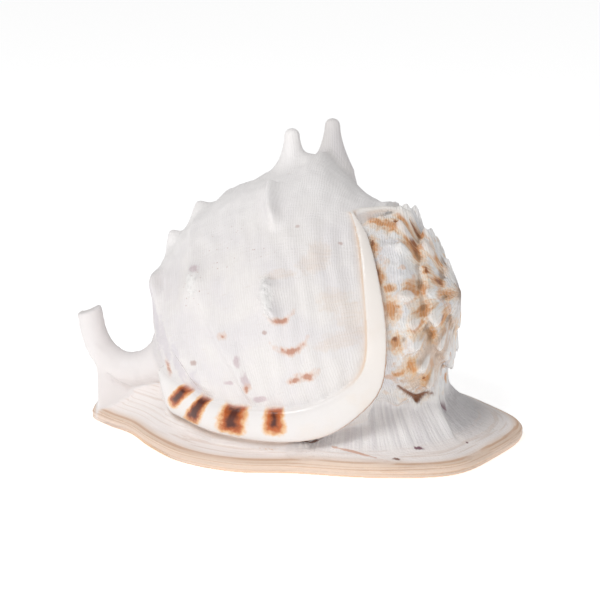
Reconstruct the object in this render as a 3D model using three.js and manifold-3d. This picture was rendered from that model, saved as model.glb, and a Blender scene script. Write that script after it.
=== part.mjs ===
// Horned helmet shell (Cassis cornuta): one piece of grown shell, lying on its flat underside.
// Millimetres, +Z up. The origin is the middle of the footprint, on the plane that the shell rests on.
// +X runs from the siphonal canal to the spire. -Y is the side of the parietal shield, +Y the outer lip.
import * as THREE from "three";
import { LoftGeometry } from "three/addons/geometries/LoftGeometry.js";
import { mergeVertices } from "three/addons/utils/BufferGeometryUtils.js";
import Module from "manifold-3d";

const wasm = await Module();
wasm.setup();
const { smoothstep, degToRad, lerp, clamp } = THREE.MathUtils;

// Driving dimensions
const BODY_RADIUS = 74; // body whorl at its widest, from the coiling axis
const SHOULDER_RISE = 9; // how far the late shoulder stands out beyond the egg of the body
const WIDEST_AT = 6; // place of the widest girth along the axis
const SHOULDER_AT = 25; // place of the late shoulder along the axis
const FRONT_END = -73; // the body closes over the canal here
const SPIRE_TIP = 82; // the apex
const WALL = 5.5; // thickness of the whorl's wall
const EDGE = 6; // thickness of the shield's free edge
const CALLUS_RISE = 16; // how far the shield climbs towards the canal
const CANAL_RADIUS = 6.5;
const SLIT_WIDTH = 16;
const CHAMBER_FLOOR = 13;

// The coiling axis runs from the canal up to the apex, leaning towards the parietal side
const COIL_CENTRE = new THREE.Vector3(0, -2, 57);
const COIL_AXIS = new THREE.Vector3(148.5, -30, 32).normalize();
const TO_FRONT = new THREE.Vector3(0, -1, 0).projectOnPlane(COIL_AXIS).normalize();
const TO_TOP = new THREE.Vector3().crossVectors(TO_FRONT, COIL_AXIS).normalize();

// The direction away from the axis at an angle of growth: 0 faces the front, 90 the top, 180 the lip
function outward(turn) {
  const angle = degToRad(turn);
  return TO_FRONT.clone().multiplyScalar(Math.cos(angle)).addScaledVector(TO_TOP, Math.sin(angle));
}

// The point at a place along the axis, an angle of growth and a distance from the axis
function onCoil(along, turn, radius) {
  return COIL_CENTRE.clone().addScaledVector(COIL_AXIS, along).addScaledVector(outward(turn), radius);
}

const ellipse = (distance, reach) => Math.sqrt(Math.max(0, 1 - (distance / reach) ** 2));
const swelling = (distance, width) => Math.exp(-((distance / width) ** 2));
const steps = (count, from, to) => Array.from({ length: count + 1 }, (_, i) => lerp(from, to, i / count));
const points = (list) => list.map((place) => new THREE.Vector3(...place));

// Horns of the shoulder, taller as the shell grew. Each leans a little towards the spire.
const HORNS = [
  { along: 9.5, turn: 100, height: 17, tip: 3.4, lean: 0.2 },
  { along: 23, turn: 122, height: 21, tip: 4, lean: 0.1 },
  { along: 21, turn: 162, height: 13, tip: 4.2, lean: 0 },
  { along: 21, turn: 188, height: 11, tip: 4.2, lean: 0 },
];

// Knobs of the three rows on the body. Length runs with the turn, width along the axis.
const KNOBS = [
  { along: 4, turn: 23, height: 4.5, width: 5, length: 13 },
  { along: 5, turn: 70, height: 5.5, width: 4, length: 14 },
  { along: -22, turn: 98, height: 1.5, width: 5, length: 8 },
  { along: -20, turn: 165, height: 3, width: 6, length: 10 },
  { along: -35, turn: 37, height: 3.5, width: 8, length: 10 },
  { along: -40, turn: 95, height: 5, width: 6, length: 10 },
  { along: -38, turn: 165, height: 4, width: 7, length: 10 },
  { along: -60, turn: 46, height: 6, width: 6, length: 9 },
  { along: -55, turn: 88, height: 6, width: 6, length: 10 },
  { along: -54, turn: 165, height: 4, width: 7, length: 10 },
];

// The body whorl without its sculpture is an egg about the coiling axis
function eggRadius(along) {
  const reach = along < WIDEST_AT ? WIDEST_AT - FRONT_END : 75;
  return BODY_RADIUS * ellipse(along - WIDEST_AT, reach);
}

// Swelling of the body at a knob, or at the foot of a horn
function knobHeight(along, turn) {
  const radius = eggRadius(along);
  const beside = (item, width, length) =>
    swelling(along - item.along, width) * swelling(degToRad(turn - item.turn) * radius, length);
  const knobs = KNOBS.reduce((sum, knob) => sum + knob.height * beside(knob, knob.width, knob.length), 0);
  return HORNS.reduce((sum, item) => sum + 4.5 * beside(item, 12, 14), knobs);
}

// The body whorl starts as the egg. It grows a high shoulder with a hollow ramp as it turns over the top,
// and flares out to the lip where it comes down to the ground.
function bodyRadius(along, turn) {
  const egg = eggRadius(along);
  const suture = { radius: 51, at: 55 };
  const downRamp = clamp((along - SHOULDER_AT) / (suture.at - SHOULDER_AT), 0, 1);
  const ramp = lerp(suture.radius, eggRadius(SHOULDER_AT) + SHOULDER_RISE, (1 - downRamp) ** 1.7);
  const late = along < SHOULDER_AT ? egg + SHOULDER_RISE * swelling(along - SHOULDER_AT, 18) : ramp;
  const sooner = smoothstep(along, 0, 45);
  const grown = smoothstep(turn, lerp(78, 55, sooner), lerp(125, 108, sooner));
  const lipFlare = 1 + 0.24 * smoothstep(turn, 178, 222) * (1 - downRamp);
  return lerp(egg, late, grown) * lipFlare + knobHeight(along, turn);
}

// A closed three.js geometry as a solid that can be joined and cut
function solid(geometry) {
  const bare = geometry.index ? geometry.toNonIndexed() : geometry.clone();
  bare.deleteAttribute("normal");
  bare.deleteAttribute("uv");
  const merged = mergeVertices(bare, 1e-3);
  const corners = [];
  for (let i = 0; i < merged.index.count; i += 3) {
    const [a, b, c] = merged.index.array.slice(i, i + 3);
    if (a !== b && b !== c && c !== a) corners.push(a, b, c);
  }
  return new wasm.Manifold(
    new wasm.Mesh({
      numProp: 3,
      vertProperties: merged.attributes.position.array,
      triVerts: new Uint32Array(corners),
    }),
  );
}

const join = (solids) => solids.reduce((whole, piece) => whole.add(piece));
const skin = (rings) => solid(new LoftGeometry(rings, { capStart: true, capEnd: true }));

// A solid skinned over rings around the coiling axis, with wider spacing on the side that faces down
function coiled(places, spacing, radiusAt) {
  const seen = steps(Math.round(250 / spacing), 210, -40);
  const below = steps(Math.round(55 / spacing), -40, -150).slice(1, -1);
  const ring = (along) => [...seen, ...below].map((turn) => onCoil(along, turn, radiusAt(along, turn)));
  return skin(places.map(ring));
}

// Places along the axis that crowd together towards the round end at the canal
function bodyPlaces(count, from, to) {
  return steps(count, 0.04, 1).map((share) => lerp(from, to, share ** 1.4));
}

function bodyWhorl() {
  return coiled(bodyPlaces(26, FRONT_END, 56), 5.8, bodyRadius);
}

// A horn is a cone with a hollow flank and a round tip, standing on the swelling at its foot
function horn({ along, turn, height, tip, lean }) {
  const foot = 2.3 * tip;
  const flank = steps(4, 0, 1).map(
    (share) => new THREE.Vector2(lerp(tip, foot, (1 - share) ** 2.2), share * (height - tip)),
  );
  const cap = steps(3, 0, Math.PI / 2).map(
    (angle) => new THREE.Vector2(tip * Math.cos(angle), height - tip + tip * Math.sin(angle)),
  );
  const root = [new THREE.Vector2(0, -3), new THREE.Vector2(foot, -3)];
  const cone = new THREE.LatheGeometry([...root, ...flank, ...cap.slice(1)], 11);
  const direction = outward(turn).addScaledVector(COIL_AXIS, lean).normalize();
  cone.applyQuaternion(new THREE.Quaternion().setFromUnitVectors(new THREE.Vector3(0, 1, 0), direction));
  cone.translate(...onCoil(along, turn, bodyRadius(along, turn) - 3));
  return solid(cone);
}

// The spire is a low stepped cone of earlier whorls, each with a row of knobs on its edge
const SPIRE_PROFILE = new THREE.SplineCurve(
  [
    [40, 51],
    [54, 49],
    [61, 45],
    [65, 42],
    [68, 35.5],
    [73, 29],
    [75, 23.5],
    [79, 13],
    [SPIRE_TIP, 3],
  ].map(([along, radius]) => new THREE.Vector2(along, radius)),
);
const SPIRE_ROWS = [
  { at: 56, knobs: 15, height: 2, width: 4 },
  { at: 65, knobs: 13, height: 3.2, width: 3 },
  { at: 73, knobs: 10, height: 2.6, width: 2.4 },
  { at: 79, knobs: 7, height: 1.6, width: 2 },
];

function spireRadius(radius, along, turn) {
  const knobs = SPIRE_ROWS.map(
    ({ at, knobs, height, width }) =>
      height * swelling(along - at, width) * Math.cos(degToRad(turn * knobs) / 2) ** 4,
  );
  return radius * (1 + 0.1 * Math.cos(degToRad(turn))) + Math.max(...knobs);
}

function spire() {
  const turns = steps(48, 230, -130).slice(0, -1);
  const ring = ({ x: along, y: radius }) =>
    turns.map((turn) => onCoil(along, turn, spireRadius(radius, along, turn)));
  return skin(SPIRE_PROFILE.getPoints(17).map(ring));
}

// Footprint of the shield, from the canal's tip along the front to the tail and back behind the lip
const FOOTPRINT = new THREE.CatmullRomCurve3(
  points([
    [-106.5, 15, 0],
    [-97, 0, 0],
    [-85, -14, 0],
    [-73, -37, 0],
    [-56, -60, 0],
    [-30, -74.5, 0],
    [0, -76.5, 0],
    [32, -82, 0],
    [60, -82, 0],
    [78, -74, 0],
    [95, -51, 0],
    [108, -28, 0],
    [110.5, -11, 0],
    [105, 6, 0],
    [88, 33, 0],
    [66, 62, 0],
    [38, 78, 0],
    [8, 82.5, 0],
    [-28, 78, 0],
    [-60, 62, 0],
    [-86, 40, 0],
    [-102, 25, 0],
  ]),
  true,
);

// The shield is a plate with a flat rim below and a blunt edge. Towards the canal it climbs to the body.
function shieldPlate() {
  const outline = FOOTPRINT.getPoints(60).slice(0, -1);
  const rims = [
    { inset: 2.5, height: 0, climb: 0 },
    { inset: 0.3, height: 1.8, climb: 0 },
    { inset: 0, height: EDGE - 2.2, climb: 0 },
    { inset: 2, height: EDGE, climb: 0 },
    { inset: 10, height: EDGE + 1.5, climb: 0.2 },
    { inset: 28, height: EDGE + 1.5, climb: 1 },
    { inset: 60, height: EDGE + 1.5, climb: 1 },
  ];
  const ring = ({ inset, height, climb }) =>
    outline.map((point) => {
      const rise = CALLUS_RISE * climb * smoothstep(-point.x, 45, 80);
      const within = point.clone().setLength(Math.max(12, point.length() - inset));
      return within.setZ(height + rise);
    });
  return skin(rims.map(ring));
}

// Behind the body the callus of the shield climbs the spire in a hollow skirt
const SKIRT = { centre: [28, -7], foot: 70, neck: 43.5, height: 40 };

function shieldSkirt() {
  const wall = steps(7, 0, 1).map((share) => {
    const radius = lerp(SKIRT.neck, SKIRT.foot, (1 - share) ** 2.1);
    return new THREE.Vector2(radius, lerp(EDGE, SKIRT.height, share));
  });
  const foot = [new THREE.Vector2(0, 1), new THREE.Vector2(SKIRT.foot, 1)];
  const skirt = new THREE.LatheGeometry([...foot, ...wall, new THREE.Vector2(0, SKIRT.height)], 36);
  skirt.rotateX(Math.PI / 2);
  skirt.translate(...SKIRT.centre, 0);
  return solid(skirt);
}

// An oval ring about a point, between two half axes
function ovalRing(centre, halfWidth, halfHeight, sides) {
  return steps(sides, 0, 2 * Math.PI)
    .slice(0, -1)
    .map((angle) =>
      centre
        .clone()
        .addScaledVector(halfWidth, -Math.cos(angle))
        .addScaledVector(halfHeight, Math.sin(angle)),
    );
}

// The varix is the thick lip of an earlier stop in growth. It lies along the front, between the line where
// the body rises out of it and its own free edge, and thins out beside the spire.
const VARIX_INNER = new THREE.CatmullRomCurve3(
  points([
    [-64, -24, 32],
    [-53, -42, 31],
    [-21, -64, 29],
    [9, -72, 36],
    [29, -72, 53],
    [29.5, -69.5, 76],
    [27, -59.5, 100],
    [26, -48, 112],
  ]),
);
const VARIX_OUTER = new THREE.CatmullRomCurve3(
  points([
    [-69, -14, 31],
    [-58, -40, 20],
    [-30, -59.5, 11],
    [10, -67.5, 12.5],
    [36.5, -70.5, 30],
    [42, -71, 62],
    [35.5, -62, 97],
    [27, -48.5, 114],
  ]),
);

function varix() {
  const thickness = 6.4;
    const rings = steps(26, 0, 1).map((share) => {
    const inner = VARIX_INNER.getPoint(share);
    const outer = VARIX_OUTER.getPoint(share);
    const across = outer.clone().sub(inner).multiplyScalar(0.5);
    const tangent = VARIX_OUTER.getTangent(share);
    const face = new THREE.Vector3().crossVectors(across, tangent).setLength(thickness / 2);
    return ovalRing(inner.add(across), across, face, 9);
  });
  return skin(rings);
}

// The siphonal canal leaves the body's end and turns up
const CANAL_PATH = new THREE.CatmullRomCurve3(
  points([
    [-107, 16, 56],
    [-105, 16, 45],
    [-100.5, 16, 35],
    [-91, 15, 27.5],
    [-78, 13, 27.5],
    [-60, 9, 36],
  ]),
);

function canalTube(radiusAt, shift) {
  const rings = steps(13, 0, 1).map((share) => {
    const tangent = CANAL_PATH.getTangent(share);
    const across = new THREE.Vector3(0, 1, 0).projectOnPlane(tangent).setLength(radiusAt(share));
    const upwards = new THREE.Vector3().crossVectors(across, tangent).setLength(radiusAt(share));
    return ovalRing(CANAL_PATH.getPoint(share).add(shift), across, upwards, 12);
  });
  return skin(rings);
}

function canal() {
  return canalTube((share) => CANAL_RADIUS * (1 + 0.7 * share ** 2), new THREE.Vector3(0, 0, 0));
}

// The canal is open along the side towards the lip
function canalGroove() {
  return canalTube(() => CANAL_RADIUS / 2, new THREE.Vector3(-0.5, CANAL_RADIUS * 0.7, 0.5));
}

// A wall of shell joins the canal to the shield
function canalWall() {
  const outline = new THREE.Shape([
    new THREE.Vector2(-103.5, 1),
    new THREE.Vector2(-50, 1),
    new THREE.Vector2(-60, 32),
    new THREE.Vector2(-92, 29),
    new THREE.Vector2(-104, 40),
  ]);
  const thickness = 12;
  const wall = new THREE.ExtrudeGeometry(outline, { depth: thickness, bevelEnabled: false });
  wall.rotateX(Math.PI / 2);
  wall.translate(0, 11 + thickness, 0);
  return solid(wall);
}

// The aperture is a narrow winding slit below, between the lip and the columella
const SLIT_PATH = new THREE.CatmullRomCurve3(
  points([
    [-95, 17, 0],
    [-74, 14, 0],
    [-44, 9, 0],
    [-8, 12, 0],
    [26, 19, 0],
    [50, 17, 0],
  ]),
);
const slitHalf = (share) =>
  (SLIT_WIDTH / 2) * lerp(0.4, 1, smoothstep(share, 0, 0.5)) * (1 - 0.5 * smoothstep(share, 0.8, 1));

// A point beside the middle of the slit, on the side of the lip if the distance is positive
function besideSlit(share, distance) {
  const tangent = SLIT_PATH.getTangent(share);
  const { x, y } = SLIT_PATH.getPoint(share);
  return new THREE.Vector2(x - tangent.y * distance, y + tangent.x * distance);
}

function slit() {
  const shares = steps(20, 0, 1);
  const nearBank = shares.map((share) => besideSlit(share, -slitHalf(share)));
  const farBank = shares.map((share) => besideSlit(share, slitHalf(share))).reverse();
  const depth = CHAMBER_FLOOR + 9;
  const outline = new THREE.Shape([...nearBank, ...farBank]);
  const cut = new THREE.ExtrudeGeometry(outline, { depth, bevelEnabled: false });
  cut.translate(0, 0, -1);
  return solid(cut);
}

// Ridges like teeth stand along both sides of the slit
function teeth() {
  const ridge = (share, side) => {
    const tooth = new THREE.SphereGeometry(1, 6, 4);
    tooth.scale(2.4, 4.2, 4);
    const tangent = SLIT_PATH.getTangent(share);
    tooth.rotateZ(Math.atan2(tangent.y, tangent.x));
    const { x, y } = besideSlit(share, side * (slitHalf(share) + 1));
    tooth.translate(x, y, EDGE + 3);
    return solid(tooth);
  };
  return join(steps(8, 0.32, 0.94).flatMap((share) => [ridge(share, -1), ridge(share, 1)]));
}

// The body chamber is the hollow of the last turn. It winds round the columella, which stands on the base.
function bodyChamber() {
  const room = coiled(bodyPlaces(11, FRONT_END + WALL, 66), 12, (along, turn) => {
    const insideBody = bodyRadius(along, turn) - knobHeight(along, turn) - WALL;
    const insideSpire = lerp(46, 20, (along - 48) / 18);
    return Math.max(1, Math.min(insideBody, insideSpire));
  });
  const columella = coiled([-80, -50, -20, 10, 60], 24, (along) => lerp(7, 26, (along + 80) / 140));
  const partition = new THREE.BoxGeometry(200, 10, 60);
  partition.translate(0, -9, 30);
  const above = new THREE.BoxGeometry(400, 400, 200);
  above.translate(0, 0, CHAMBER_FLOOR + 100);
  return room.intersect(solid(above)).subtract(columella).subtract(solid(partition));
}

// The underside is dished a little, so that the shell stands on its rim
function dish() {
  const hollow = new THREE.SphereGeometry(1, 24, 8);
  hollow.scale(84, 56, 4);
  return solid(hollow);
}

function shell() {
  const grown = join([
    bodyWhorl(),
    ...HORNS.map(horn),
    spire(),
    shieldPlate(),
    shieldSkirt(),
    varix(),
    canal(),
    canalWall(),
  ]);
  const hollows = join([bodyChamber(), canalGroove(), dish(), slit()]);
  const ground = new THREE.BoxGeometry(400, 400, 100);
  ground.translate(0, 0, -50);
  return grown.subtract(hollows).add(teeth()).subtract(solid(ground));
}

// The finished solid as a mesh, moved so that the middle of its footprint is the origin
function meshOf(made, name, material) {
  const { numProp, numVert, vertProperties, triVerts } = made.getMesh();
  const geometry = new THREE.BufferGeometry();
  const places = new Float32Array(numVert * 3);
  for (let i = 0; i < numVert; i++) {
    places.set(vertProperties.subarray(i * numProp, i * numProp + 3), i * 3);
  }
  geometry.setAttribute("position", new THREE.BufferAttribute(places, 3));
  geometry.setIndex(new THREE.BufferAttribute(triVerts, 1));
  geometry.computeBoundingBox();
  const middle = geometry.boundingBox.getCenter(new THREE.Vector3());
  geometry.translate(-middle.x, -middle.y, 0);
  geometry.computeVertexNormals();
  const mesh = new THREE.Mesh(geometry, material);
  mesh.name = name;
  return mesh;
}

const shellWhite = new THREE.MeshStandardMaterial({ color: 0xebe6e2, roughness: 0.45, metalness: 0 });

const part = new THREE.Group();
part.add(meshOf(shell(), "shell", shellWhite));

export default part;
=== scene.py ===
import math
from types import SimpleNamespace

import bpy
import numpy as np
import openvdb
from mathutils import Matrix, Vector


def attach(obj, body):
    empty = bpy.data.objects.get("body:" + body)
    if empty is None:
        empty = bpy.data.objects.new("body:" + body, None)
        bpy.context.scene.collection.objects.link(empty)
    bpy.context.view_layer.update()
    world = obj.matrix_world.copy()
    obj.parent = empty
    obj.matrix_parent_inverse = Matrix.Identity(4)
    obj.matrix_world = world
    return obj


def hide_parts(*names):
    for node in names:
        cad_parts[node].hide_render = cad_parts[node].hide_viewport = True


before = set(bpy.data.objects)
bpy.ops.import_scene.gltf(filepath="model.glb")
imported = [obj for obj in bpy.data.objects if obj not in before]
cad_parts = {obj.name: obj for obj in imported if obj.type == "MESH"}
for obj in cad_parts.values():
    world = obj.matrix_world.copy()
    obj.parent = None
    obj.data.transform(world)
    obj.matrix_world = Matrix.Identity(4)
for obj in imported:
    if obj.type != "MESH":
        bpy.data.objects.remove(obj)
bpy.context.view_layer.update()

# The body whorl is the last and largest turn of the shell: an egg 148 mm across, white, with a high shoulder
# behind. Every form below is a distance to its surface in millimetres, and all of them are skinned as one
# piece. Places on the whorls are given along the coiling axis, by the angle of growth and by radius.
BODY_RADIUS = 74.0
WIDEST_AT = 6.0
EGG_TO_CANAL = 79.0
EGG_TO_SPIRE = 75.0
SHOULDER_AT = 25.0
SHOULDER_RISE = 9.0
RAMP_FOOT = 51
RAMP_LENGTH = 30
LIP_FLARE = 0.24
SPIRAL_BANDS = 0.28


def unit(v):
    return np.array(v, float) / np.linalg.norm(v)


COIL_CENTRE = np.array([0.0, -2.0, 57.0])
COIL_AXIS = unit((148.5, -30, 32))
TO_FRONT = unit(np.array([0, -1, 0]) + COIL_AXIS[1] * COIL_AXIS)
TO_TOP = np.cross(TO_FRONT, COIL_AXIS)
FIRST_TURN = -130


def place(x, y, z):
    """Points with their coordinates on the coil: along the axis, angle of growth, distance from the axis."""
    offset = [x - COIL_CENTRE[0], y - COIL_CENTRE[1], z - COIL_CENTRE[2]]
    along, front, top = (
        sum(np.float32(w) * o for w, o in zip(v, offset)) for v in (COIL_AXIS, TO_FRONT, TO_TOP)
    )
    turn = np.degrees(np.arctan2(top, front))
    turn = np.where(turn < FIRST_TURN, turn + 360, turn)
    return SimpleNamespace(x=x, y=y, z=z, along=along, turn=turn, radius=np.hypot(front, top))


def on_coil(along, turn, radius):
    angle = np.radians(turn)
    return COIL_CENTRE + along * COIL_AXIS + radius * (np.cos(angle) * TO_FRONT + np.sin(angle) * TO_TOP)


def smoothstep(v, low, high):
    share = np.clip((v - low) / (high - low), 0, 1)
    return share * share * (3 - 2 * share)


def swelling(distance, width):
    return np.exp(-((distance / width) ** 2))


def egg_radius(along):
    reach = np.where(along < WIDEST_AT, EGG_TO_CANAL, EGG_TO_SPIRE)
    return BODY_RADIUS * np.sqrt(np.clip(1 - ((along - WIDEST_AT) / reach) ** 2, 0, 1))


# Reliefs are drawn on a map of the coil, one cell per half millimetre along and half degree of turn
CELL = 0.5
MAP_ALONG = np.arange(-80, 92, CELL)
MAP_TURN = np.arange(FIRST_TURN, 231, CELL)
ALONG, TURN = np.meshgrid(MAP_ALONG, MAP_TURN, indexing="ij")
ROUND = np.radians(1) * np.maximum(egg_radius(ALONG), 25)


def sample(chart, at):
    """The value of a map at points, between its cells."""
    i = np.clip((at.along - MAP_ALONG[0]) / CELL, 0, len(MAP_ALONG) - 1.01)
    j = np.clip((at.turn - MAP_TURN[0]) / CELL, 0, len(MAP_TURN) - 1.01)
    i0, j0 = i.astype(np.int32), j.astype(np.int32)
    di, dj = (i - i0).astype(np.float32), (j - j0).astype(np.float32)
    chart = chart.astype(np.float32)
    low = chart[i0, j0] * (1 - dj) + chart[i0, j0 + 1] * dj
    return low * (1 - di) + (chart[i0 + 1, j0] * (1 - dj) + chart[i0 + 1, j0 + 1] * dj) * di


def knob(along, turn, height, width, length):
    return height * swelling(ALONG - along, width) * swelling((TURN - turn) * ROUND, length)


def crest(path, height, before, after):
    """A ridge along points (along, turn), with one width towards the canal and another towards the spire."""
    best = np.full(ALONG.shape, 1e9)
    side, share = np.zeros(ALONG.shape), np.zeros(ALONG.shape)
    for i, ((a0, t0), (a1, t1)) in enumerate(zip(path, path[1:])):
        da, dt = a1 - a0, (t1 - t0) * ROUND
        pa, pt = ALONG - a0, (TURN - t0) * ROUND
        w = np.clip((pa * da + pt * dt) / (da * da + dt * dt), 0, 1)
        qa, qt = pa - w * da, pt - w * dt
        d = np.hypot(qa, qt)
        near = d < best
        best = np.where(near, d, best)
        side = np.where(near, np.sign(qa), side)
        share = np.where(near, (i + w) / (len(path) - 1), share)
    ends = smoothstep(share, 0, 0.18) * smoothstep(share, 1, 0.75)
    return height * ends * swelling(best, np.where(side > 0, after, before))


def ripple(length, seed):
    """A random relief about 1 high on the map of the coil, with swellings of a length in mm."""
    noise = np.random.default_rng(seed).standard_normal(ALONG.shape)
    across = np.fft.fftfreq(len(MAP_ALONG), CELL)[:, None]
    around = np.fft.fftfreq(len(MAP_TURN), CELL * 0.75)[None, :]
    soft = np.fft.ifft2(np.fft.fft2(noise) * np.exp(-2 * length**2 * (across**2 + around**2))).real
    return soft / soft.std()


# Knobs: place along, turn, height, width and length. The front one has a row of beads on its edge.
KNOBS = [
    (7, 22, 1.6, 8, 15),
    (-22, 98, 1.2, 5, 8),
    (-20, 165, 3, 6, 10),
    (-35, 36, 3.6, 6, 8),
    (-40, 95, 5.6, 4.6, 7),
    (-38, 165, 4, 7, 10),
    (-60, 46, 5.4, 5, 8),
    (-55, 88, 5.8, 4.6, 7),
    (-54, 165, 3.5, 7, 10),
]
BEADS = [(6, 29.5), (4.4, 27.5), (3.7, 25.2), (3.6, 22.8), (4.4, 20.5), (5.8, 18.4), (7.6, 16.4)]
BEAD_HEIGHT = 1.1
BEAD_WIDTH = 1.3

# Crests: a path of places along and turns, height, width before and after
CRESTS = [
    ([(6, 31), (3.0, 25.5), (3.0, 21), (5.2, 17), (9, 13)], 5.0, 1.4, 5.2),
    ([(4.5, 79), (5, 70), (6.5, 60), (10, 48)], 5.2, 1.7, 3.6),
    ([(-40, 95), (-35, 38), (-24.5, 12), (-15, -10), (-11, -19)], 2.5, 1.8, 7),
    ([(-56, 88), (-60.5, 46), (-52, 12), (-43, -4), (-32, -15)], 3.4, 2.2, 7),
]
down_ramp = np.clip((ALONG - SHOULDER_AT) / RAMP_LENGTH, 0, 1)
ramp = RAMP_FOOT + (egg_radius(SHOULDER_AT) + SHOULDER_RISE - RAMP_FOOT) * (1 - down_ramp) ** 1.7
late = np.where(
    ALONG < SHOULDER_AT, SHOULDER_RISE * swelling(ALONG - SHOULDER_AT, 18), ramp - egg_radius(ALONG)
)
sooner = smoothstep(ALONG, 0, 45)
grown = smoothstep(TURN, 78 - 23 * sooner, 125 - 17 * sooner)
flare = LIP_FLARE * egg_radius(ALONG) * smoothstep(TURN, 178, 222) * (1 - down_ramp)
body_relief = grown * late + flare
body_relief += SPIRAL_BANDS * np.sin(ALONG * 0.68 + 1.5 * ripple(25, 7)) + 0.12 * ripple(4, 8)
for spec in KNOBS:
    body_relief += knob(*spec)
for along, turn in BEADS:
    body_relief += knob(along, turn, BEAD_HEIGHT, BEAD_WIDTH, BEAD_WIDTH)
for spec in CRESTS:
    body_relief += crest(*spec)


def smooth_union(a, b, blend):
    h = np.clip(0.5 + 0.5 * (b - a) / blend, 0, 1)
    return b * (1 - h) + a * h - blend * h * (1 - h)


# On the front the body ends at the free edge of the older lip, so it is cut off there
EDGE_TURN = [-130, -60, -34, -25, -11, 7, 21, 33, 45, 57, 70, 230]
EDGE_ALONG = [20, 22, 37, 44, 49, 52, 51, 49, 46, 44, 57, 57]


def body(at):
    reach = np.where(at.along < WIDEST_AT, np.float32(EGG_TO_CANAL), np.float32(EGG_TO_SPIRE))
    egg = np.sqrt(((at.along - WIDEST_AT) / reach) ** 2 + (at.radius / BODY_RADIUS) ** 2)
    cut = at.along - np.interp(at.turn, EDGE_TURN, EDGE_ALONG).astype(np.float32)
    return np.maximum(BODY_RADIUS * (egg - 1) - sample(body_relief, at), cut)


# Horns stand on the shoulder: the two in front are 17 and 21 mm tall, two lower ones are behind. They are
# white and round-tipped. Each has its place along, turn, height, radius of tip and lean towards the spire.
HORNS = [
    (9.2, 100, 17, 3.9, 0.15),
    (23, 122, 21, 4.0, 0.1),
    (20, 166, 11, 4.2, 0.0),
    (21, 188, 11, 4.2, 0.0),
]
HORN_SUNK = 6
HORN_FLARE = 7.5


def relief_at(chart, along, turn):
    return chart[int((along - MAP_ALONG[0]) / CELL), int((turn - MAP_TURN[0]) / CELL)]


def horns(at, whole):
    for along, turn, height, tip, lean in HORNS:
        surface = float(egg_radius(np.array(along))) + relief_at(body_relief, along, turn)
        foot = on_coil(along, turn, surface - HORN_SUNK)
        up = unit(on_coil(0, turn, 1) - COIL_CENTRE + lean * COIL_AXIS)
        v = [at.x - foot[0], at.y - foot[1], at.z - foot[2]]
        h = v[0] * up[0] + v[1] * up[1] + v[2] * up[2]
        off = np.sqrt(np.maximum(v[0] ** 2 + v[1] ** 2 + v[2] ** 2 - h * h, 0))
        length = height + HORN_SUNK + 1.5 - tip
        girth = tip + HORN_FLARE * np.clip(1 - h / length, 0, 1) ** 1.6
        cone = np.hypot(off, np.maximum(h - length, 0)) - girth
        whole = smooth_union(whole, np.maximum(cone, -h - 4), 7)
    return whole


# The spire is a low cone of older whorls that ends 83 mm along the axis, mottled orange-brown on grey-white.
# It has rows of white knobs, each with a groove behind it, and a ledge 3 mm high on top beside the body.
SPIRE_ALONG = [30, 40, 54, 61, 65, 68, 73, 75, 79, 82, 83.5]
SPIRE_RADIUS = [51, 51, 49, 45, 42, 35.5, 29, 23.5, 13, 4, 0]
SPIRE_END = 83
LEDGE_HEIGHT = 3

# Rows of knobs: place along, knobs in a turn, turn of the first, height and width
SPIRE_ROWS = [
    (65.5, 25, 59, 4.8, 2.7),
    (73.5, 17, 38, 4.8, 2.3),
    (79, 10, 30, 2.6, 1.8),
]
LOW_KNOBS = [(50, -38, 3.5, 3.4, 4), (57, -47, 4, 3.2, 4), (64, -57, 4, 3.2, 4)]
spire_plain = np.interp(ALONG, SPIRE_ALONG, SPIRE_RADIUS) * (1 + 0.1 * np.cos(np.radians(TURN)))
ledge_turn = 60 + 18 * (ALONG - 43) / 22
below_ledge = smoothstep(TURN, ledge_turn + 2.5, ledge_turn - 2.5) * smoothstep(ALONG, 70, 62)
spire_plain += LEDGE_HEIGHT * below_ledge
spire_chart = spire_plain.copy()
for row, knobs, phase, height, width in SPIRE_ROWS:
    vary = 1 + 0.35 * ripple(7, int(row))
    wander = TURN - phase + 2 * ripple(14, knobs)
    wave = np.cos(np.radians(wander) * knobs / 2) ** 2
    spire_chart += height * vary * swelling(ALONG - row, width) * (0.3 + 0.7 * wave**2.5)
    spire_chart += 1.4 * wave * swelling(ALONG - row + 4, 3) * vary
    spire_chart -= 2.4 * swelling(ALONG - row - 3.4, 1.6)
spire_chart += (0.5 * ripple(4, 3) + 0.3 * ripple(2, 4)) * smoothstep(ALONG, 44, 62)
for spec in LOW_KNOBS:
    spire_chart += knob(*spec)
slope_along, slope_turn = np.gradient(spire_chart, CELL, CELL)
slope_turn /= np.radians(1) * np.maximum(spire_chart, 4)
spire_lean = 1 / np.sqrt(1 + slope_along**2 + slope_turn**2)


def spire(at):
    side = (at.radius - sample(spire_chart, at)) * sample(spire_lean, at)
    return np.maximum(side, np.maximum(at.along - SPIRE_END, 38 - at.along))


# The shield is a flat plate 220 by 165 mm that the shell lies on, with a layered peach edge 6 mm thick.
# Its callus climbs the spire behind the body in a hollow skirt with upright pleats, and rises to the canal.
FOOTPRINT = [
    (-106.5, 15), (-97, 0), (-85, -14), (-73, -37), (-56, -60), (-30, -74.5), (0, -76.5), (32, -82),
    (60, -82), (78, -74), (95, -51), (108, -28), (110.5, -11), (105, 6), (88, 33), (66, 62), (38, 78),
    (8, 82.5), (-28, 78), (-60, 62), (-86, 40), (-102, 25),
]
EDGE_THICK = 6.2
EDGE_ROUND = 2.6
CALLUS_RISE = 18
SKIRT_CENTRE = (28, -7)
SKIRT_NECK = 43.5
SKIRT_SPREAD = 26.5
SKIRT_TOP = 41


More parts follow.
